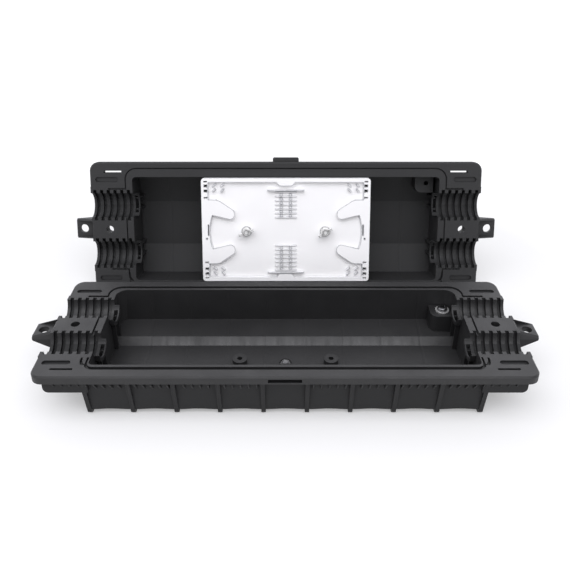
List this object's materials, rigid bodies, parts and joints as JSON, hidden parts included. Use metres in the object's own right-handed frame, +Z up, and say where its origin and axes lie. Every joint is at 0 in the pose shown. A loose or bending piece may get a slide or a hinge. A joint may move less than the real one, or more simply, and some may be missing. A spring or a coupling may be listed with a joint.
{
  "type": "fibre splice closure",
  "caption": "Opened two-part inline fibre splice closure: ribbed black shell halves with grooved cable ports and end tabs, and a white splice tray held by wing nuts.",
  "frame": {"origin": "middle of the bounding box at the level the part stands on", "axes": "+X along the closure, +Y from the lying half to the standing half, +Z up"},
  "size_m": [0.3972, 0.2476, 0.1261],
  "materials": {
    "shell_black": "moulded charcoal-black plastic, slight sheen",
    "tray_white": "moulded white plastic, satin",
    "spacer_plastic": "natural moulded plastic",
    "zinc_steel": "bright zinc plate"
  },
  "bodies": {
    "root": {"lower_shell": "shell_black", "upper_shell": "shell_black", "splice_tray": "tray_white", "tray_stud_left": "zinc_steel", "tray_stud_right": "zinc_steel", "tray_spacer_left": "spacer_plastic", "tray_spacer_right": "spacer_plastic", "tray_washer_left": "zinc_steel", "tray_washer_right": "zinc_steel", "ground_screw": "zinc_steel", "ground_washer": "zinc_steel"},
    "left_nut": {"wing_nut_left": "zinc_steel"},
    "right_nut": {"wing_nut_right": "zinc_steel"}
  },
  "joints": [
    {"name": "left_nut_turn", "type": "hinge", "parent": "root", "child": "left_nut", "pos_m": [-0.037, 0.06381, 0.06156], "axis": [0, -0.9551, 0.2962], "range_deg": [0, 450]},
    {"name": "right_nut_turn", "type": "hinge", "parent": "root", "child": "right_nut", "pos_m": [0.037, 0.06381, 0.06156], "axis": [0, -0.9551, 0.2962], "range_deg": [0, 450]}
  ]
}
